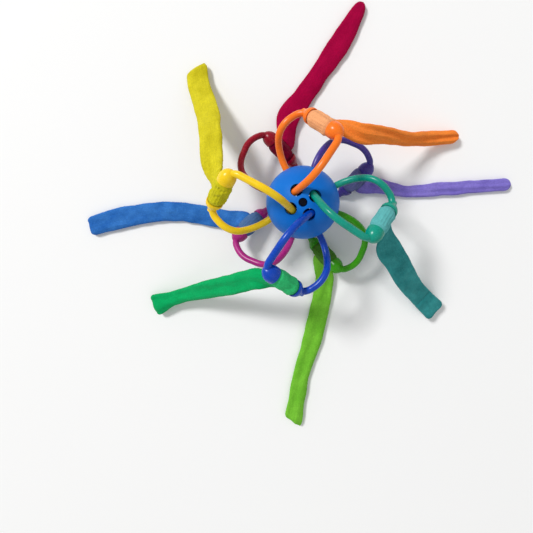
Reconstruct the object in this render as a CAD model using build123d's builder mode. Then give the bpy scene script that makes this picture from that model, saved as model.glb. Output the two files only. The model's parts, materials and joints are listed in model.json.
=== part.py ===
"""A soft-grip toy ball with eight bent tube loops and eight fabric streamers.

The origin is the ball's centre and +Z points out of the upper pole. All sizes are in mm.
Four loops hang on the upper half and four on the lower half, turned 45 degrees between them.
"""
import os
from math import acos, cos, radians, sin, tan

from build123d import *

# Ball: two shells that meet at the equator, held by one screw down the middle
ball_radius = 30.0
wall = 2.2
hole_radius = 5.0
pole_angle = 20.5  # from the pole to each hole near it
post_radius = 5.0
well_radius = 3.4  # the open well that a screwdriver goes down
seat_radius = 2.95  # the closer seat at its foot, round the screw's head
well_floor = 8.0
head_radius = 2.8
head_height = 2.4
head_room = 0.4  # how far the seat reaches past the head
screw_radius = 1.45
screw_hole = 1.5
screw_length = 24.0
slot_size = (3.6, 0.8)
slot_depth = 1.4

# Loops: a round tube with a cup at each end
tube_radius = 2.8
mouth_radius = 6.75
cup_radius = 6.0
cup_depth = 2.2
half_gap = 11.0  # from the middle of the gap to each cup's mouth
inside_reach = 9.0  # where the two bends inside the ball begin
pin_radius = 1.78
pin_hole = 1.8
pin_depth = 6.0

# Streamers
bore_radius = 3.3
sleeve_radius = 6.9
tuck_radius = 5.7
tail_thick = 4.0

upper_turns = {"orange": 117, "teal": 27, "blue": -63, "yellow": -153}
lower_turns = {"violet": 72, "crimson": 162, "magenta": -108, "green": -18}
# How far each loop stands up from the common rest lean, in degrees
lifts = {"yellow": 8.0}

mid_radius = ball_radius - wall / 2
pole_hole = Vector(
    mid_radius * sin(radians(pole_angle)), 0, mid_radius * cos(radians(pole_angle))
)
side_hole = Vector(mid_radius, 0, 0)


def flip(v):
    """The point or direction mirrored to the lower half."""
    return Vector(v.X, v.Y, -v.Z)


def spin(v, degrees):
    return v.rotate(Axis.Z, degrees)


# ---- the loops' centreline: corner points, and how far from each its bend begins ----
def through(hole, outer, inside=14.0):
    """The corner inside the ball, on the line from an outer corner through the hole."""
    return hole - (outer - hole).normalized() * inside


class Bend:
    """One loop's shape: the middle and axis of its gap, and its corners in order."""

    def __init__(self, mid, axis, first, near_pole, near_side, last):
        self.mid = Vector(*mid)
        self.axis = Vector(*axis).normalized()
        far = [Vector(*p) for p, reach in near_pole]
        out = [Vector(*p) for p, reach in near_side]
        corners = [(self.mid - self.axis * first[0], first[1])]
        corners += [(Vector(*p), reach) for p, reach in near_pole]
        corners += [(through(pole_hole, far[-1]), inside_reach)]
        corners += [(through(side_hole, out[0]), inside_reach)]
        corners += [(Vector(*p), reach) for p, reach in near_side]
        corners += [(self.mid + self.axis * last[0], last[1])]
        self.start = self.mid - self.axis * (half_gap + cup_depth)
        self.end = self.mid + self.axis * (half_gap + cup_depth)
        self.corners = corners

    def points(self):
        return [self.start] + [c for c, reach in self.corners] + [self.end]

    def radii(self):
        pts = self.points()
        found = []
        for i, (corner, reach) in enumerate(self.corners, start=1):
            a = (corner - pts[i - 1]).normalized()
            b = (pts[i + 1] - corner).normalized()
            found.append(reach / tan(acos(a.dot(b)) / 2))
        return found


upper_bend = Bend(
    mid=(46.8, -39.7, 27.1),
    axis=(0.763, 0.335, -0.553),
    first=(21.5, 7.5),
    near_pole=[((13.0, -16.1, 47.3), 14)],
    near_side=[((44.2, -0.3, 0), 12), ((61.0, -9.6, 17.0), 12)],
    last=(23.0, 8),
)
lower_bend = Bend(
    mid=(33.9, -38.9, 38.0),
    axis=(0.80, -0.427, -0.418),
    first=(22.0, 7),
    near_pole=[((12.5, -14.0, 46.0), 8)],
    near_side=[((44.0, -0.3, 0), 12), ((62.0, -11.0, 13.0), 12), ((61.5, -37.0, 21.0), 9)],
    last=(21.0, 6),
)


# ---- cups at the loops' ends, with the mouth at z = 0 and the tube behind it ----
def knob():
    with BuildPart() as cup:
        with BuildSketch(Plane.XZ) as profile:
            with BuildLine():
                Line((0, 0), (mouth_radius, 0))
                Line((mouth_radius, 0), (mouth_radius, 2.0))
                ThreePointArc((mouth_radius, 2.0), (5.3, 7.6), (1.2, 11.0))
                Line((1.2, 11.0), (0, 11.0))
                Line((0, 11.0), (0, 0))
            make_face()
        revolve(axis=Axis.Z)
    return cup.part


def flare():
    with BuildPart() as cup:
        with BuildSketch(Plane.XZ) as profile:
            with BuildLine():
                Line((0, 0), (mouth_radius, 0))
                Line((mouth_radius, 0), (mouth_radius, 1.6))
                Spline((mouth_radius, 1.6), (5.2, 5.0), (3.4, 7.6), (2.6, 10.5))
                Line((2.6, 10.5), (0, 10.5))
                Line((0, 10.5), (0, 0))
            make_face()
        revolve(axis=Axis.Z)
    return cup.part


def cup_cut():
    """The space in a cup's mouth and its pin hole."""
    with BuildPart() as cut:
        with Locations((0, 0, cup_depth)):
            Cylinder(cup_radius, 2 * cup_depth, align=(Align.CENTER, Align.CENTER, Align.MAX))
            Cylinder(pin_hole, pin_depth, align=(Align.CENTER, Align.CENTER, Align.MIN))
    return cut.part


def looking(origin, direction):
    return Plane(origin=origin, z_dir=direction)


def loop(bend, knob_first):
    """The loop in its own upright half plane, before it is turned to its place."""
    near = looking(bend.mid - bend.axis * half_gap, bend.axis * -1)
    away = looking(bend.mid + bend.axis * half_gap, bend.axis)
    with BuildPart() as made:
        with BuildLine():
            FilletPolyline(*bend.points(), radius=bend.radii())
        with BuildSketch(looking(bend.start, bend.axis * -1)):
            Circle(tube_radius)
        sweep()
        add((knob() if knob_first else flare()).moved(Location(near)))
        add((flare() if knob_first else knob()).moved(Location(away)))
        add(cup_cut().moved(Location(near)), mode=Mode.SUBTRACT)
        add(cup_cut().moved(Location(away)), mode=Mode.SUBTRACT)
    return made.part


def core():
    """The joiner pin, with its middle at the origin along Z."""
    with BuildPart() as pin:
        Cylinder(3.0, 2 * (half_gap + cup_depth) - 0.2)
        Cylinder(pin_radius, 2 * (half_gap + cup_depth + pin_depth) - 0.6)
    return pin.part


# ---- streamers ----
def barrel():
    """The fabric sleeve round the core, without its bore."""
    end = half_gap + cup_depth - 0.3
    with BuildPart() as sleeve:
        with BuildSketch(Plane.XZ) as profile:
            with BuildLine():
                Polyline(
                    (0, -end),
                    (tuck_radius, -end),
                    (tuck_radius, -half_gap + 0.3),
                    (sleeve_radius, -half_gap + 2.2),
                    (sleeve_radius, half_gap - 2.2),
                    (tuck_radius, half_gap - 0.3),
                    (tuck_radius, end),
                    (0, end),
                    (0, -end),
                )
            make_face()
        revolve(axis=Axis.Z)
    return sleeve.part


# Each tail's stations after the sleeve: place, width and roll in degrees
tails = {
    "orange": [
        ((46, 54, 14), 17, 0),
        ((68, 55, -2), 15, 25),
        ((90, 55, -20), 14, 40),
        ((117, 58, -37), 14, 25),
        ((144, 61, -44), 12, 15),
    ],
    "teal": [
        ((67, -36, 14), 20, 0),
        ((79, -52, 1), 21, 0),
        ((91, -69, -15), 20, 0),
        ((106, -85, -32), 19, 0),
        ((123, -101, -43), 21, 0),
    ],
    "blue": [
        ((-37, -60, 14), 17, 0),
        ((-59, -68, -2), 17, 0),
        ((-84, -76, -20), 16, 0),
        ((-113, -86, -38), 13, 0),
        ((-138, -96, -44), 16, 0),
    ],
    "yellow": [
        ((-71, 33, 15), 18, 0),
        ((-76, 57, 0), 19, 0),
        ((-83, 78, -20), 21, 0),
        ((-95, 106, -40), 21, 0),
        ((-99, 125, -45), 20, 0),
    ],
    "violet": [
        ((71, 15, -44), 14, 0),
        ((97, 10, -46.5), 11, 0),
        ((125, 12, -46.5), 13, 0),
        ((154, 14, -46.5), 12, 0),
        ((194, 17, -46.5), 12, 0),
    ],
    "crimson": [
        ((-14, 78, -44), 21, 0),
        ((1, 99, -46.5), 19, 0),
        ((17, 123, -46.5), 18, 0),
        ((35, 149, -46.5), 20, 0),
        ((56, 187, -46.5), 14, 0),
    ],
    "magenta": [
        ((-68, -16, -44), 17, 0),
        ((-88, -13, -46.5), 18, 0),
        ((-114, -9, -46.5), 18, 0),
        ((-143, -10, -46.5), 19, 0),
        ((-171, -15, -46.5), 20, 0),
        ((-199, -23, -46.5), 18, 0),
    ],
    "green": [
        ((20, -70, -44), 17, 0),
        ((16, -96, -46.5), 18, 0),
        ((9, -127, -46.5), 18, 0),
        ((-2, -163, -46.5), 15, 0),
        ((-9, -205, -46.5), 17, 0),
    ],
}


def streamer(mid, axis, stations):
    """A fabric strip folded round the core, laid along its stations."""
    first = Vector(*stations[0][0]) - mid
    out = (first - axis * first.dot(axis)).normalized()
    places = [mid, mid + out * 9] + [Vector(*s[0]) for s in stations]
    widths = [13.0, 14.0] + [s[1] for s in stations]
    rolls = [0, 0] + [s[2] for s in stations]
    with BuildPart() as strip:
        for i, place in enumerate(places):
            back = places[max(i - 1, 0)]
            ahead = places[min(i + 1, len(places) - 1)]
            along = (ahead - back).normalized() if i > 1 else out
            side = axis
            if i > 1:
                side = along.cross(Vector(0, 0, 1)).normalized()
                side = side.rotate(Axis(origin=(0, 0, 0), direction=along), rolls[i])
                first_side = axis - along * axis.dot(along)
                if side.dot(first_side) < 0:
                    side = side * -1
            with BuildSketch(Plane(origin=place, x_dir=side, z_dir=along)):
                RectangleRounded(widths[i], tail_thick, tail_thick * 0.48)
        loft(ruled=True)
        add(barrel().moved(Location(looking(mid, axis))))
        with Locations(Location(looking(mid, axis))):
            Cylinder(bore_radius, 60, mode=Mode.SUBTRACT)
    return strip.part


def shell(upper):
    """Half of the ball with its post, its four holes and its eight half holes."""
    side = 1 if upper else -1
    turns = upper_turns if upper else lower_turns
    with BuildPart() as half:
        with BuildSketch(Plane.XZ) as profile:
            with BuildLine():
                inner = ball_radius - wall
                Line((0, inner), (0, ball_radius))
                CenterArc((0, 0), ball_radius, 0, 90)
                Line((ball_radius, 0), (inner, 0))
                CenterArc((0, 0), inner, 0, 90)
            make_face()
        revolve(axis=Axis.Z)
        Cylinder(post_radius, inner + wall / 2, align=(Align.CENTER, Align.CENTER, Align.MIN))
        for turn in turns.values():
            axis = spin(pole_hole, turn)
            with Locations(Location(looking(axis, axis))):
                Cylinder(hole_radius, 12, mode=Mode.SUBTRACT)
        for turn in list(upper_turns.values()) + list(lower_turns.values()):
            axis = spin(side_hole, turn)
            with Locations(Location(looking(axis, axis))):
                Cylinder(hole_radius, 12, mode=Mode.SUBTRACT)
        if upper:
            Cylinder(screw_hole, 60, mode=Mode.SUBTRACT)
            with Locations((0, 0, well_floor)):
                Cylinder(
                    seat_radius, 40, mode=Mode.SUBTRACT,
                    align=(Align.CENTER, Align.CENTER, Align.MIN),
                )
            with Locations((0, 0, well_floor + head_height + head_room)):
                Cylinder(
                    well_radius, 40, mode=Mode.SUBTRACT,
                    align=(Align.CENTER, Align.CENTER, Align.MIN),
                )
        else:
            Cylinder(screw_hole, 36, mode=Mode.SUBTRACT)
    return half.part if upper else half.part.mirror(Plane.XY)


def screw():
    with BuildPart() as made:
        with Locations((0, 0, well_floor)):
            Cylinder(head_radius, head_height, align=(Align.CENTER, Align.CENTER, Align.MIN))
            Cylinder(screw_radius, screw_length, align=(Align.CENTER, Align.CENTER, Align.MAX))
        with BuildSketch(Plane.XY.offset(well_floor + head_height)):
            Rectangle(*slot_size)
            Rectangle(*reversed(slot_size))
        extrude(amount=-slot_depth, mode=Mode.SUBTRACT)
    return made.part


def save(part, name):
    part.label = name
    export_step(part, f"parts/{name}.step")
    print(name, round(part.volume), part.is_valid)


os.makedirs("parts", exist_ok=True)
save(shell(True), "ball_upper_shell")
save(shell(False), "ball_lower_shell")
save(screw(), "ball_screw")

upper_loop = loop(upper_bend, knob_first=True)
lower_loop = loop(lower_bend, knob_first=False).mirror(Plane.XY)
hinge = Axis(origin=side_hole, direction=pole_hole - side_hole)
low_hinge = Axis(origin=side_hole, direction=side_hole - flip(pole_hole))

for name, turn in {**upper_turns, **lower_turns}.items():
    upper = name in upper_turns
    bend = upper_bend if upper else lower_bend
    line = hinge if upper else low_hinge
    lift = lifts.get(name, 0)
    mid = bend.mid if upper else flip(bend.mid)
    axis = bend.axis if upper else flip(bend.axis)
    shape = (upper_loop if upper else lower_loop).rotate(line, lift).rotate(Axis.Z, turn)
    offset = (mid - line.position).rotate(Axis((0, 0, 0), line.direction), lift)
    mid = spin(line.position + offset, turn)
    axis = spin(axis.rotate(Axis((0, 0, 0), line.direction), lift), turn)
    save(shape, f"loop_{name}")
    save(core().moved(Location(looking(mid, axis))), f"core_{name}")
    save(streamer(mid, axis, tails[name]), f"streamer_{name}")
    print("   gap", tuple(round(v, 2) for v in mid), "axis", tuple(round(v, 3) for v in axis))
    print("   swing", tuple(round(v, 3) for v in spin(line.position, turn)),
          tuple(round(v, 4) for v in spin(line.direction, turn)))
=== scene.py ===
import json
import math

import bmesh
import bpy
from mathutils import Matrix, Vector, kdtree, noise


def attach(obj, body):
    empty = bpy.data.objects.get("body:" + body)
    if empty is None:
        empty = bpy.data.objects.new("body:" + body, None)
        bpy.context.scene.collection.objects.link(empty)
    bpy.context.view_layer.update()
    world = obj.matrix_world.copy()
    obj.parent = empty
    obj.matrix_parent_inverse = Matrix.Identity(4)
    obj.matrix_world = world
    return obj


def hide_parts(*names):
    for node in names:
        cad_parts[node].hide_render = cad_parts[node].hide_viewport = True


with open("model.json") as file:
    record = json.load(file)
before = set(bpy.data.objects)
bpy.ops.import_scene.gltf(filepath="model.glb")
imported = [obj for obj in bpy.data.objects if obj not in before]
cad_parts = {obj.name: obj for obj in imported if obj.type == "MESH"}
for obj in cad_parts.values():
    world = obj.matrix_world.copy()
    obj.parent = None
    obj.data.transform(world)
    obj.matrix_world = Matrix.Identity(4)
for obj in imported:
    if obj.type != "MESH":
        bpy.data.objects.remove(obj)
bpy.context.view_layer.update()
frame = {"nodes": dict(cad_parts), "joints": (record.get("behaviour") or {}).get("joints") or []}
scene = bpy.context.scene
nodes = frame["nodes"]
mm = 0.001


def deselectAll():
    for thing in bpy.context.selected_objects:
        thing.select_set(False)


# shared shader groups
def newGroup(name, inputs, outputs):
    group = bpy.data.node_groups.new(name, "ShaderNodeTree")
    for label, kind, value in inputs:
        socket = group.interface.new_socket(name=label, in_out="INPUT", socket_type=kind)
        socket.default_value = value
    for label, kind in outputs:
        group.interface.new_socket(name=label, in_out="OUTPUT", socket_type=kind)
    start = group.nodes.new("NodeGroupInput")
    end = group.nodes.new("NodeGroupOutput")
    return group, start, end


def attributeNode(tree, name):
    node = tree.nodes.new("ShaderNodeAttribute")
    node.attribute_name = name
    return node


def mathNode(tree, operation, first, second=None, third=None):
    node = tree.nodes.new("ShaderNodeMath")
    node.operation = operation
    for slot, value in enumerate((first, second, third)):
        if value is None:
            continue
        if isinstance(value, (int, float)):
            node.inputs[slot].default_value = value
        else:
            tree.links.new(value, node.inputs[slot])
    return node.outputs[0]


def mixColour(tree, factor, first, second):
    node = tree.nodes.new("ShaderNodeMix")
    node.data_type = "RGBA"
    for slot, value in ((0, factor), (6, first), (7, second)):
        if isinstance(value, tuple):
            node.inputs[slot].default_value = value
        else:
            tree.links.new(value, node.inputs[slot])
    return node.outputs[2]


def noiseNode(tree, vector, scale, detail=3.0, roughness=0.5):
    node = tree.nodes.new("ShaderNodeTexNoise")
    node.inputs["Scale"].default_value = scale
    node.inputs["Detail"].default_value = detail
    node.inputs["Roughness"].default_value = roughness
    tree.links.new(vector, node.inputs["Vector"])
    return node.outputs["Fac"]


def remap(tree, value, low, high, newLow=0.0, newHigh=1.0):
    node = tree.nodes.new("ShaderNodeMapRange")
    tree.links.new(value, node.inputs["Value"])
    node.inputs["From Min"].default_value = low
    node.inputs["From Max"].default_value = high
    node.inputs["To Min"].default_value = newLow
    node.inputs["To Max"].default_value = newHigh
    return node.outputs["Result"]


def makePlasticGroup():
    # faint flow marks, fine scuffs and a skin texture for moulded plastic
    group, start, end = newGroup(
        "mouldedSkin",
        [("Vector", "NodeSocketVector", (0, 0, 0)), ("Base", "NodeSocketColor", (0.5, 0.5, 0.5, 1)),
         ("Deep", "NodeSocketColor", (0.3, 0.3, 0.3, 1)), ("Roughness", "NodeSocketFloat", 0.35),
         ("Grain", "NodeSocketFloat", 0.3)],
        [("Color", "NodeSocketColor"), ("Roughness", "NodeSocketFloat"), ("Height", "NodeSocketFloat")],
    )
    vector = start.outputs["Vector"]
    cloud = noiseNode(group, vector, 55.0, 4.0)
    speck = noiseNode(group, vector, 2200.0, 2.0, 0.6)
    scuff = noiseNode(group, vector, 420.0, 6.0, 0.7)
    flow = remap(group, cloud, 0.35, 0.7, 0.0, 0.55)
    tinted = mixColour(group, flow, start.outputs["Base"], start.outputs["Deep"])
    scuffed = remap(group, scuff, 0.66, 0.84, 0.0, 0.10)
    pale = mixColour(group, scuffed, tinted, (0.8, 0.8, 0.8, 1))
    group.links.new(pale, end.inputs["Color"])
    rough = mathNode(group, "MULTIPLY_ADD", scuff, 0.22, start.outputs["Roughness"])
    rough = mathNode(group, "SUBTRACT", rough, 0.11)
    group.links.new(rough, end.inputs["Roughness"])
    fine = mathNode(group, "MULTIPLY", speck, start.outputs["Grain"])
    height = mathNode(group, "MULTIPLY_ADD", cloud, 0.4, fine)
    group.links.new(height, end.inputs["Height"])
    return group


def makePlushGroup():
    # short pile: patches of brushed pile, darkened towards the Shade colour as painted sheen and shade, fine
    # fibres, lengthways nap, pale backing on the sleeve
    group, start, end = newGroup(
        "shortPile",
        [("Vector", "NodeSocketVector", (0, 0, 0)), ("Strip", "NodeSocketVector", (0, 0, 0)),
         ("Pile", "NodeSocketColor", (0.5, 0.5, 0.5, 1)), ("Shade", "NodeSocketColor", (0.2, 0.2, 0.2, 1)),
         ("Backing", "NodeSocketColor", (0.7, 0.7, 0.7, 1)), ("Sleeve", "NodeSocketFloat", 0.0),
         ("CrushSheen", "NodeSocketFloat", 0.5)],
        [("Color", "NodeSocketColor"), ("Height", "NodeSocketFloat"), ("Roughness", "NodeSocketFloat")],
    )
    vector = start.outputs["Vector"]
    patches = noiseNode(group, vector, 70.0, 5.0, 0.62)
    fibre = noiseNode(group, vector, 2600.0, 2.0, 0.7)
    tuft = noiseNode(group, vector, 700.0, 3.0, 0.6)
    stretch = group.nodes.new("ShaderNodeVectorMath")
    stretch.operation = "MULTIPLY"
    stretch.inputs[1].default_value = (60.0, 900.0, 1.0)
    group.links.new(start.outputs["Strip"], stretch.inputs[0])
    nap = noiseNode(group, stretch.outputs[0], 1.0, 3.0, 0.6)
    # brushed pile in patches; their lighter and darker tone is painted sheen and shade
    brushedSheen = remap(group, patches, 0.28, 0.78)
    brushedSheen = mathNode(group, "MULTIPLY", brushedSheen, start.outputs["CrushSheen"])
    shaded = mixColour(group, brushedSheen, start.outputs["Pile"], start.outputs["Shade"])
    fibreTone = remap(group, fibre, 0.3, 0.72, 0.80, 1.16)
    tuftTone = remap(group, tuft, 0.3, 0.72, 0.90, 1.10)
    napTone = remap(group, nap, 0.3, 0.7, 0.93, 1.07)
    tone = mathNode(group, "MULTIPLY", fibreTone, mathNode(group, "MULTIPLY", tuftTone, napTone))
    # knitted backing: close ribs along the sleeve, with a painted highlight on each crest and painted shade
    # in each groove
    split = group.nodes.new("ShaderNodeSeparateXYZ")
    group.links.new(start.outputs["Strip"], split.inputs[0])
    ribs = mathNode(group, "SINE", mathNode(group, "MULTIPLY", split.outputs["Z"], 46.0))
    ribShadeTone = remap(group, ribs, -1.0, 1.0, 0.84, 1.08)
    fray = mathNode(group, "MULTIPLY", mathNode(group, "SUBTRACT", tuft, 0.5), 0.7)
    edge = mathNode(group, "ADD", start.outputs["Sleeve"], fray)
    mask = remap(group, edge, 0.42, 0.58)
    backTone = mathNode(group, "MULTIPLY", ribShadeTone, tuftTone)
    finalTone = group.nodes.new("ShaderNodeMix")
    finalTone.data_type = "FLOAT"
    group.links.new(mask, finalTone.inputs[0])
    group.links.new(tone, finalTone.inputs[2])
    group.links.new(backTone, finalTone.inputs[3])
    base = mixColour(group, mask, shaded, start.outputs["Backing"])
    toned = group.nodes.new("ShaderNodeVectorMath")
    toned.operation = "SCALE"
    group.links.new(base, toned.inputs[0])
    group.links.new(finalTone.outputs[0], toned.inputs["Scale"])
    group.links.new(toned.outputs[0], end.inputs["Color"])
    height = mathNode(group, "MULTIPLY_ADD", tuft, 0.8, fibre)
    ribHeight = mathNode(group, "MULTIPLY", mathNode(group, "MULTIPLY", ribs, mask), 0.35)
    group.links.new(mathNode(group, "ADD", height, ribHeight), end.inputs["Height"])
    group.links.new(remap(group, patches, 0.3, 0.7, 0.78, 0.95), end.inputs["Roughness"])
    return group


mouldedSkin = makePlasticGroup()
shortPile = makePlushGroup()


def startMaterial(name):
    material = bpy.data.materials.new(name)
    material.use_nodes = True
    tree = material.node_tree
    return material, tree, tree.nodes["Principled BSDF"]


def bumpInto(tree, shader, height, distance, strength=1.0):
    bump = tree.nodes.new("ShaderNodeBump")
    bump.inputs["Distance"].default_value = distance
    bump.inputs["Strength"].default_value = strength
    tree.links.new(height, bump.inputs["Height"])
    tree.links.new(bump.outputs["Normal"], shader.inputs["Normal"])


def plasticMaterial(name, look):
    material, tree, shader = startMaterial(name)
    coords = tree.nodes.new("ShaderNodeTexCoord")
    skin = tree.nodes.new("ShaderNodeGroup")
    skin.node_tree = mouldedSkin
    skin.inputs["Base"].default_value = (*look["base"], 1)
    skin.inputs["Deep"].default_value = (*look["deep"], 1)
    skin.inputs["Roughness"].default_value = look["roughness"]
    skin.inputs["Grain"].default_value = look["grain"]
    tree.links.new(coords.outputs["Object"], skin.inputs["Vector"])
    tree.links.new(skin.outputs["Color"], shader.inputs["Base Color"])
    tree.links.new(skin.outputs["Roughness"], shader.inputs["Roughness"])
    shader.inputs["Specular IOR Level"].default_value = look["specular"]
    bumpInto(tree, shader, skin.outputs["Height"], look["bump"])
    return material


plushLook = {
    "sheen": 0.14, "sheenRoughness": 0.45, "specular": 0.06, "bump": 0.00035, "bumpStrength": 0.8,
}


def plushMaterial(name, pile, shade, backing, crushSheen):
    material, tree, shader = startMaterial(name)
    coords = tree.nodes.new("ShaderNodeTexCoord")
    cloth = tree.nodes.new("ShaderNodeGroup")
    cloth.node_tree = shortPile
    cloth.inputs["Pile"].default_value = (*pile, 1)
    cloth.inputs["Shade"].default_value = (*shade, 1)
    cloth.inputs["Backing"].default_value = (*backing, 1)
    cloth.inputs["CrushSheen"].default_value = crushSheen
    sleeve = attributeNode(tree, "sleeve")
    strip = attributeNode(tree, "strip")
    tree.links.new(coords.outputs["Object"], cloth.inputs["Vector"])
    tree.links.new(sleeve.outputs["Fac"], cloth.inputs["Sleeve"])
    tree.links.new(strip.outputs["Vector"], cloth.inputs["Strip"])
    tree.links.new(cloth.outputs["Color"], shader.inputs["Base Color"])
    tree.links.new(cloth.outputs["Roughness"], shader.inputs["Roughness"])
    shader.inputs["Sheen Weight"].default_value = plushLook["sheen"]
    shader.inputs["Sheen Roughness"].default_value = plushLook["sheenRoughness"]
    shader.inputs["Sheen Tint"].default_value = (*[min(1.0, 0.35 + 0.8 * c) for c in pile], 1)
    shader.inputs["Specular IOR Level"].default_value = plushLook["specular"]
    bumpInto(tree, shader, cloth.outputs["Height"], plushLook["bump"], plushLook["bumpStrength"])
    return material


def dress(thing, material):
    thing.data.materials.clear()
    thing.data.materials.append(material)


def srgb(red, green, blue):
    # 0-255 screen colour to linear
    return tuple(
        c / 12.92 if c <= 0.04045 else ((c + 0.055) / 1.055) ** 2.4
        for c in (red / 255, green / 255, blue / 255)
    )


# ball
ballLook = {
    "base": srgb(0, 110, 206), "deep": srgb(0, 97, 192), "roughness": 0.46, "grain": 0.6,
    "specular": 0.16, "bump": 0.00012,
}
ballPlastic = plasticMaterial("ballPlastic", ballLook)
for name in ("ball_upper_shell", "ball_lower_shell"):
    dress(nodes[name], ballPlastic)
screwLook = {
    "base": (0.10, 0.10, 0.11), "deep": (0.05, 0.05, 0.05), "roughness": 0.45, "grain": 0.2,
    "specular": 0.5, "bump": 0.00004,
}
screwSteel = plasticMaterial("screwSteel", screwLook)
screwSteel.node_tree.nodes["Principled BSDF"].inputs["Metallic"].default_value = 1.0
dress(nodes["ball_screw"], screwSteel)
print("ball dressed")

# tube loops
tubeLook = {"roughness": 0.27, "grain": 0.25, "specular": 0.34, "bump": 0.00004}
tubeColours = {
    "orange": (srgb(252, 124, 28), srgb(238, 104, 14)),
    "teal": (srgb(4, 150, 128), srgb(0, 128, 108)),
    "blue": (srgb(0, 70, 184), srgb(0, 54, 160)),
    "yellow": (srgb(248, 208, 22), srgb(234, 188, 4)),
    "violet": (srgb(70, 58, 146), srgb(54, 44, 124)),
    "crimson": (srgb(150, 0, 34), srgb(124, 0, 24)),
    "magenta": (srgb(172, 36, 128), srgb(146, 22, 106)),
    "green": (srgb(58, 154, 0), srgb(42, 132, 0)),
}
coreLook = {
    "base": (0.72, 0.72, 0.68), "deep": (0.6, 0.6, 0.56), "roughness": 0.45, "grain": 0.3,
    "specular": 0.4, "bump": 0.00004,
}
corePlastic = plasticMaterial("corePlastic", coreLook)
for name, (base, deep) in tubeColours.items():
    look = {**tubeLook, "base": base, "deep": deep}
    dress(nodes[f"loop_{name}"], plasticMaterial(f"tube_{name}", look))
    dress(nodes[f"core_{name}"], corePlastic)
print("loops dressed")

# plush streamers: stations are places down the strip's middle in mm, with its width and roll there
sleeveLook = {
    "halfLength": 12.6, "radius": 6.9, "tuckRadius": 5.6, "bore": 3.4, "tuckFrom": 8.4, "tuckOver": 2.2,
    "lump": 0.9, "lumpTop": 0.3, "around": 72, "rows": 40,
}
rootLook = {"reach": (5.0, 8.0, 12.0), "width": 15.0, "thick": [3.0, 7.0, 6.0]}
stripLook = {"steps": 16, "around": 44, "stiffFor": 22.0, "slantOver": 26.0, "edge": 0.8}
tabLook = {
    "base": (7.0, 6.4), "tip": (13.6, 10.6), "width": 4.4, "taper": 1.0, "ripple": 0.6, "curl": 0.6,
    "halfThick": 0.95, "ragged": 0.9, "rows": 8,
}
pileLook = {
    "tuft": 0.14, "fineTuft": 0.08, "rib": 0.20, "ribs": 18, "crinkleFrom": 8.0, "crinkleOver": 22.0,
    "cupReach": 7.2, "boreReach": 4.6, "sleeveEnd": 14, "backingEdge": 9.4, "backingFade": 2.0,
}
clothLook = {
    "voxel": 0.00062, "smoothBy": 0.5, "smoothTimes": 4, "hem": 3.0, "wrap": 14.0, "floorGap": 0.15,
}
seedStart, seedStep = 0.37, 1.13
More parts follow.
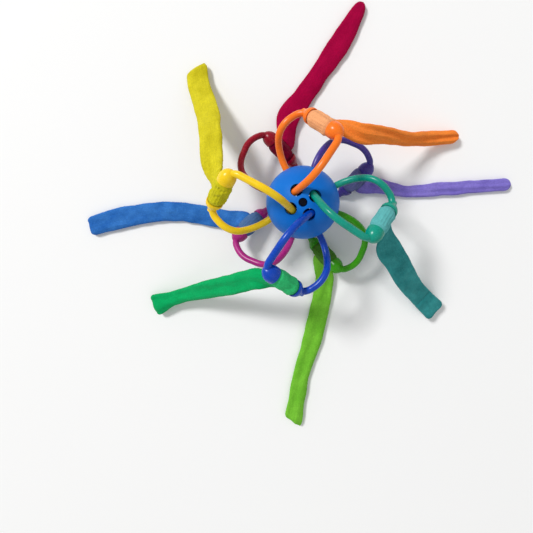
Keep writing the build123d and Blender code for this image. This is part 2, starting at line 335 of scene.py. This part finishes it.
# each streamer's shade colour and crush amount set the painted sheen and shade of its pile patches
streamers = {
    "orange": {
        "end": "round", "thick": 5.6, "crushSheen": 0.55, "fold": 1.25, "folds": 2.0, "dent": 0.5, "tab": True,
        "stations": [
            ((46, 54, 14), 17, 0), ((68, 55, -2), 15, 25), ((90, 55, -20), 14, 40),
            ((117, 58, -37), 14, 25), ((144, 61, -44), 12, 15),
        ],
        "pile": srgb(255, 146, 60), "shade": srgb(240, 112, 34), "backing": srgb(252, 176, 122),
    },
    "teal": {
        "end": "square", "thick": 5.0, "crushSheen": 0.9, "fold": 0.4, "folds": 1.0, "dent": 0.9, "tab": True,
        "crease": 24.0,
        "stations": [
            ((67, -36, 14), 20, 0), ((79, -52, 1), 21, 0), ((91, -69, -15), 20, 0),
            ((106, -85, -32), 19, 0), ((123, -101, -43), 21, 0),
        ],
        "pile": srgb(64, 160, 160), "shade": srgb(14, 106, 110), "backing": srgb(100, 186, 186),
    },
    "blue": {
        "end": "flare", "thick": 5.6, "crushSheen": 0.5, "fold": 0.8, "folds": 1.3, "dent": 0.7, "tab": True,
        "stations": [
            ((-37, -60, 14), 17, 0), ((-59, -68, -2), 17, 0), ((-84, -76, -20), 16, 0),
            ((-113, -86, -38), 13, 0), ((-138, -96, -44), 16, 0),
        ],
        "pile": srgb(8, 172, 98), "shade": srgb(0, 138, 74), "backing": srgb(56, 204, 124),
    },
    "yellow": {
        "end": "slant", "thick": 5.4, "crushSheen": 0.8, "fold": 0.35, "folds": 1.0, "dent": 0.9, "crinkle": 0.75,
        "slant": -3.6,
        "stations": [
            ((-71, 33, 15), 18, 0), ((-76, 57, 0), 19, 0), ((-83, 78, -20), 21, 0),
            ((-95, 106, -40), 21, 0), ((-99, 125, -45), 20, 0),
        ],
        "pile": srgb(222, 210, 42), "shade": srgb(184, 172, 20), "backing": srgb(212, 204, 32),
    },
    "violet": {
        "end": "round", "thick": 4.6, "crushSheen": 0.75, "fold": 0.6, "folds": 2.0, "dent": 0.6,
        "stations": [
            ((71, 15, -44), 14, 0), ((97, 10, -46.5), 11, 0), ((125, 12, -46.5), 13, 0),
            ((154, 14, -46.5), 12, 0), ((194, 17, -46.5), 12, 0),
        ],
        "pile": srgb(140, 126, 212), "shade": srgb(98, 84, 176), "backing": srgb(104, 108, 158),
    },
    "crimson": {
        "end": "point", "thick": 4.4, "crushSheen": 0.5, "fold": 0.35, "folds": 1.0, "dent": 0.5,
        "stations": [
            ((-14, 78, -44), 21, 0), ((1, 99, -46.5), 19, 0), ((17, 123, -46.5), 18, 0),
            ((35, 149, -46.5), 20, 0), ((56, 187, -46.5), 14, 0),
        ],
        "pile": srgb(172, 0, 64), "shade": srgb(128, 0, 46), "backing": srgb(118, 0, 40),
    },
    "magenta": {
        "end": "square", "thick": 4.8, "crushSheen": 0.95, "fold": 0.4, "folds": 1.0, "dent": 0.9,
        "stations": [
            ((-68, -16, -44), 17, 0), ((-88, -13, -46.5), 18, 0), ((-114, -9, -46.5), 18, 0),
            ((-143, -10, -46.5), 19, 0), ((-171, -15, -46.5), 20, 0), ((-199, -23, -46.5), 18, 0),
        ],
        "pile": srgb(62, 128, 206), "shade": srgb(20, 84, 166), "backing": srgb(82, 116, 164),
    },
    "green": {
        "end": "slant", "thick": 4.8, "crushSheen": 0.7, "fold": 0.6, "folds": 1.4, "dent": 0.7, "slant": 3.2,
        "stations": [
            ((20, -70, -44), 17, 0), ((16, -96, -46.5), 18, 0), ((9, -127, -46.5), 18, 0),
            ((-2, -163, -46.5), 15, 0), ((-9, -205, -46.5), 17, 0),
        ],
        "pile": srgb(126, 200, 60), "shade": srgb(78, 156, 26), "backing": srgb(80, 136, 44),
    },
}
joints = {joint["name"]: joint for joint in frame["joints"]}


def gapPlace(name):
    # the sleeve's middle, in mm, and its axis are the streamer joint's own
    joint = joints[f"{name}_streamer_turn"]
    return Vector(joint["pos_m"]) / mm, Vector(joint["axis"]).normalized()


def smoothThrough(values, steps):
    # Catmull-Rom through the values; works on numbers and vectors
    found = []
    last = len(values) - 1
    for i in range(last):
        before, here = values[max(i - 1, 0)], values[i]
        there, after = values[i + 1], values[min(i + 2, last)]
        for step in range(steps):
            t = step / steps
            slope = (there - before) * t
            bend = (2 * before - 5 * here + 4 * there - after) * t * t
            twist = (3 * here - before - 3 * there + after) * t * t * t
            found.append(0.5 * (2 * here + slope + bend + twist))
    found.append(values[-1])
    return found


def stripFrames(plan, mid, axis):
    # centre points, side directions, widths and thicknesses down the strip, from the sleeve's wall
    stations = plan["stations"]
    first = Vector(stations[0][0]) - mid
    out = (first - axis * first.dot(axis)).normalized()
    roots = len(rootLook["reach"])
    places = [mid + out * reach for reach in rootLook["reach"]] + [Vector(s[0]) for s in stations]
    widths = [rootLook["width"]] * roots + [float(s[1]) for s in stations]
    thicks = rootLook["thick"] + [plan["thick"]] * len(stations)
    rolls = [0] * roots + [s[2] for s in stations]
    sides = [axis.copy() for _ in range(roots)]
    for i in range(roots, len(places)):
        along = (places[min(i + 1, len(places) - 1)] - places[i - 1]).normalized()
        side = along.cross(Vector((0, 0, 1))).normalized()
        side = Matrix.Rotation(math.radians(rolls[i]), 3, along) @ side
        if side.dot(sides[-1]) < 0:
            side = -side
        sides.append(side)
    return out, [smoothThrough(row, stripLook["steps"]) for row in (places, sides, widths, thicks)]


def endShape(plan, left, width, thick):
    # how the strip narrows and thins over its last few millimetres
    kind = plan["end"]
    if kind == "point" and left < 34:
        width *= 1 - 0.35 * (1 - left / 34) ** 2
    if kind == "flare" and left < 20:
        width *= 1 + 0.30 * math.sin(math.pi / 2 * (1 - left / 20))
    if kind in ("round", "point"):
        reach = width * 1.05
        if left < reach:
            ease = 1 - left / reach
            width *= max(0.15, math.sqrt(1 - ease * ease))
            thick *= max(0.4, math.sqrt(1 - ease ** 4))
    elif left < 4.0:
        ease = 1 - left / 4.0
        width *= 1 - 0.20 * ease * ease
        thick *= 1 - 0.45 * ease * ease
    if "crease" in plan:
        thick *= 1 - 0.45 * math.exp(-(((left - plan["crease"]) / 1.8) ** 2))
    return width, thick


def stripMesh(plan, mid, axis, seed):
    out, (places, sides, widths, thicks) = stripFrames(plan, mid, axis)
    lengths = [0.0]
    for here, there in zip(places, places[1:]):
        lengths.append(lengths[-1] + (there - here).length)
    mesh = bmesh.new()
    rings = []
    around = stripLook["around"]
    for i, place in enumerate(places):
        along = (places[min(i + 1, len(places) - 1)] - places[max(i - 1, 0)]).normalized()
        side = (sides[i] - along * sides[i].dot(along)).normalized()
        up = along.cross(side).normalized()
        left = lengths[-1] - lengths[i]
        width, thick = endShape(plan, left, widths[i] / 2, thicks[i] / 2)
        free = min(1.0, lengths[i] / stripLook["stiffFor"])
        shift = plan.get("slant", 0.0) * max(0.0, 1 - left / stripLook["slantOver"])
        ring = []
        for k in range(around):
            angle = 2 * math.pi * k / around
            c, s = math.cos(angle), math.sin(angle)
            across = math.copysign(abs(c) ** 0.72, c)
            lift = math.copysign(abs(s) ** 0.9, s)
            ridge = math.sin(plan["folds"] * math.pi * across + lengths[i] * 0.03 + seed)
            fold = plan["fold"] * free * ridge * (1 - across ** 4)
            where = Vector((lengths[i] * 0.07, across * 1.2 + seed * 7.1, seed * 3.3))
            dent = plan["dent"] * free * noise.noise(where * 1.5)
            edgeWhere = Vector((lengths[i] * 0.08, seed * 5.7, 4.0 if c > 0 else 9.0))
            edge = stripLook["edge"] * free * noise.noise(edgeWhere)
            point = place + side * (across * (width + edge)) + along * (shift * across)
            ring.append(mesh.verts.new((point + up * (lift * thick + fold + dent)) * mm))
        rings.append(ring)
    for here, there in zip(rings, rings[1:]):
        for k in range(around):
            n = (k + 1) % around
            mesh.faces.new((here[k], here[n], there[n], there[k]))
    mesh.faces.new(list(reversed(rings[0])))
    mesh.faces.new(rings[-1])
    return mesh, out, places, sides, lengths


def addSleeve(mesh, mid, axis, seed):
    # the gathered tube of cloth round the pin, open along its bore
    half, bore = sleeveLook["halfLength"], sleeveLook["bore"]
    start = axis.orthogonal().normalized()
    other = axis.cross(start)
    around, rows = sleeveLook["around"], sleeveLook["rows"]
    outer, inner = [], []
    for r in range(rows + 1):
        h = -half + 2 * half * r / rows
        tucked = max(0.0, min(1.0, (abs(h) - sleeveLook["tuckFrom"]) / sleeveLook["tuckOver"]))
        radius = sleeveLook["radius"] * (1 - tucked) + sleeveLook["tuckRadius"] * tucked
        outerRing, innerRing = [], []
        for k in range(around):
            angle = 2 * math.pi * k / around
            ray = start * math.cos(angle) + other * math.sin(angle)
            where = Vector((h * 0.16, math.cos(angle) * 1.3 + seed * 2, math.sin(angle) * 1.3))
            lump = sleeveLook["lump"] * noise.noise(where) * (1 - tucked)
            reach = radius + min(sleeveLook["lumpTop"], lump)
            outerRing.append(mesh.verts.new((mid + axis * h + ray * reach) * mm))
            innerRing.append(mesh.verts.new((mid + axis * h + ray * bore) * mm))
        outer.append(outerRing)
        inner.append(innerRing)
    for r in range(rows):
        for k in range(around):
            n = (k + 1) % around
            mesh.faces.new((outer[r][k], outer[r][n], outer[r + 1][n], outer[r + 1][k]))
            mesh.faces.new((inner[r][n], inner[r][k], inner[r + 1][k], inner[r + 1][n]))
    for k in range(around):
        n = (k + 1) % around
        mesh.faces.new((outer[0][n], outer[0][k], inner[0][k], inner[0][n]))
        mesh.faces.new((outer[-1][k], outer[-1][n], inner[-1][n], inner[-1][k]))


def addTab(mesh, mid, axis, out, seed):
    # the ragged end of the cloth that sticks out past the sleeve, beside the knob
    turned = (out * 0.96 + axis.cross(out) * 0.28).normalized()
    base = mid - axis * tabLook["base"][0] + turned * tabLook["base"][1]
    tip = mid - axis * tabLook["tip"][0] + turned * tabLook["tip"][1]
    along = (tip - base).normalized()
    flat = axis.cross(turned).normalized()
    up = along.cross(flat).normalized()
    rows = tabLook["rows"]
    rings = []
    for r in range(rows + 1):
        t = r / rows
        ripple = tabLook["ripple"] * noise.noise(Vector((t * 5, seed, 2.0)))
        width = tabLook["width"] - tabLook["taper"] * t + ripple
        place = base.lerp(tip, t) + up * (tabLook["curl"] * math.sin(3 * t))
        corners = [(-1, -1), (1, -1), (1, 1), (-1, 1)]
        ring = []
        for a, b in corners:
            ragged = tabLook["ragged"] * noise.noise(Vector((a * 3.1, seed, b))) if r == rows else 0.0
            corner = place + flat * (a * width) + up * (b * tabLook["halfThick"]) + along * ragged
            ring.append(mesh.verts.new(corner * mm))
        rings.append(ring)
    for here, there in zip(rings, rings[1:]):
        for k in range(4):
            n = (k + 1) % 4
            mesh.faces.new((here[k], here[n], there[n], there[k]))
    mesh.faces.new(list(reversed(rings[0])))
    mesh.faces.new(rings[-1])


def makeObject(name, mesh):
    data = bpy.data.meshes.new(name)
    bmesh.ops.recalc_face_normals(mesh, faces=mesh.faces)
    mesh.to_mesh(data)
    mesh.free()
    thing = bpy.data.objects.new(name, data)
    scene.collection.objects.link(thing)
    return thing


def applyModifier(thing, modifier):
    deselectAll()
    bpy.context.view_layer.objects.active = thing
    thing.select_set(True)
    bpy.ops.object.modifier_apply(modifier=modifier.name)


def markCloth(data, mid, axis, places, sides, lengths):
    # strip coordinates for the pile: metres down the strip, metres across it, angle round the sleeve
    tree = kdtree.KDTree(len(places))
    for i, place in enumerate(places):
        tree.insert(place, i)
    tree.balance()
    start = axis.orthogonal().normalized()
    other = axis.cross(start)
    sleeveValues, stripValues, marks = [], [], []
    for vertex in data.vertices:
        point = vertex.co / mm
        height = (point - mid).dot(axis)
        ray = point - mid - axis * height
        nearPlace, i, _ = tree.find(point)
        across = (point - nearPlace).dot(sides[i])
        angle = math.atan2(ray.dot(other), ray.dot(start))
        inSleeve = 0.0
        if abs(height) < pileLook["sleeveEnd"]:
            fade = (pileLook["backingEdge"] - ray.length) / pileLook["backingFade"]
            inSleeve = max(0.0, min(1.0, fade))
        sleeveValues.append(inSleeve)
        stripValues += [lengths[i] * mm, across * mm, angle]
        marks.append((height, ray, inSleeve, angle, lengths[i]))
    data.attributes.new("sleeve", "FLOAT", "POINT").data.foreach_set("value", sleeveValues)
    data.attributes.new("strip", "FLOAT_VECTOR", "POINT").data.foreach_set("vector", stripValues)
    return marks


def roughenCloth(data, plan, mid, axis, marks, seed):
    # ribs round the sleeve, tufts on the pile and crinkles by the knob, kept out of the bore and the cups
    floorTop = stageLook["floorZ"] + clothLook["floorGap"] * mm
    moved = []
    for vertex, (height, ray, inSleeve, angle, run) in zip(data.vertices, marks):
        point = vertex.co / mm
        tuft = pileLook["tuft"] * noise.noise(point * 0.9) + pileLook["fineTuft"] * noise.noise(point * 2.1)
        rib = pileLook["rib"] * inSleeve * math.sin(angle * pileLook["ribs"])
        crinkle = plan.get("crinkle", 0.0) * noise.noise(point * 0.42 + Vector((seed, 0, 0)))
        crinkle *= max(0.0, 1 - max(run - pileLook["crinkleFrom"], 0.0) / pileLook["crinkleOver"])
        reach = ray.length
        inCup = abs(height) > sleeveLook["tuckFrom"] and reach < pileLook["cupReach"]
        change = 0.0 if inCup or reach < pileLook["boreReach"] else tuft + rib + crinkle
        place = point + vertex.normal * change
        if abs(height) < pileLook["sleeveEnd"] and 1e-6 < reach < sleeveLook["bore"]:
            place = mid + axis * height + ray.normalized() * sleeveLook["bore"]
        moved.append(place * mm)
    for vertex, place in zip(data.vertices, moved):
        place.z = max(place.z, floorTop)
        vertex.co = place


def makeStreamer(name, plan, seed):
    mid, axis = gapPlace(name)
    strip, out, places, sides, lengths = stripMesh(plan, mid, axis, seed)
    addSleeve(strip, mid, axis, seed)
    if plan.get("tab"):
        addTab(strip, mid, axis, out, seed)
    thing = makeObject(f"plush_{name}", strip)
    remesh = thing.modifiers.new("oneSkin", "REMESH")
    remesh.mode = "VOXEL"
    remesh.voxel_size = clothLook["voxel"]
    remesh.use_smooth_shade = True
    applyModifier(thing, remesh)
    relax = thing.modifiers.new("relax", "SMOOTH")
    relax.factor = clothLook["smoothBy"]
    relax.iterations = clothLook["smoothTimes"]
    applyModifier(thing, relax)
    data = thing.data
    marks = markCloth(data, mid, axis, places, sides, lengths)
    roughenCloth(data, plan, mid, axis, marks, seed)
    for polygon in data.polygons:
        polygon.use_smooth = True
    colours = (plan["pile"], plan["shade"], plan["backing"])
    dress(thing, plushMaterial(f"plush_{name}_pile", *colours, plan["crushSheen"]))
    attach(thing, f"{name}_streamer")
    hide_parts(f"streamer_{name}")
    print(f"streamer {name}: {lengths[-1]:.0f} mm, {len(data.polygons)} faces")


stageLook = {
    "floorZ": -0.0497, "floorSize": 6.0, "floor": (0.93, 0.93, 0.925), "roughness": 0.9, "specular": 0.1,
    "world": 0.46,
}
for number, (name, plan) in enumerate(streamers.items()):
    makeStreamer(name, plan, seedStart + number * seedStep)

# floor, light and camera
keyLook = {"place": (-2.50, 2.40, 3.50), "size": 1.00, "power": 176.0}
fillLook = {"place": (1.2, -0.9, 1.9), "size": 2.4, "power": 5.0}
deselectAll()
bpy.ops.mesh.primitive_plane_add(size=stageLook["floorSize"], location=(0, 0, stageLook["floorZ"]))
floor = bpy.context.active_object
floor.name = "floor"
floorPaint, _, floorShader = startMaterial("floorPaint")
floorShader.inputs["Base Color"].default_value = (*stageLook["floor"], 1)
floorShader.inputs["Roughness"].default_value = stageLook["roughness"]
floorShader.inputs["Specular IOR Level"].default_value = stageLook["specular"]
dress(floor, floorPaint)


def areaLight(name, look):
    light = bpy.data.lights.new(name, "AREA")
    light.energy = look["power"]
    light.size = look["size"]
    lamp = bpy.data.objects.new(name, light)
    scene.collection.objects.link(lamp)
    lamp.location = look["place"]
    lamp.rotation_euler = (-Vector(look["place"])).to_track_quat("-Z", "Y").to_euler()


areaLight("key", keyLook)
areaLight("fill", fillLook)
world = bpy.data.worlds.new("studio")
scene.world = world
world.use_nodes = True
world.node_tree.nodes["Background"].inputs["Color"].default_value = (1, 1, 1, 1)
world.node_tree.nodes["Background"].inputs["Strength"].default_value = stageLook["world"]

cameraLook = {"height": 0.330, "lens": 27.23, "shiftX": -0.0683, "shiftY": -0.1206, "clipStart": 0.01}
cameraData = bpy.data.cameras.new("camera")
cameraData.lens = cameraLook["lens"]
cameraData.shift_x = cameraLook["shiftX"]
cameraData.shift_y = cameraLook["shiftY"]
cameraData.clip_start = cameraLook["clipStart"]
camera = bpy.data.objects.new("camera", cameraData)
scene.collection.objects.link(camera)
camera.location = (0, 0, cameraLook["height"])
scene.camera = camera
scene.view_settings.view_transform = "Standard"
print("stage ready")
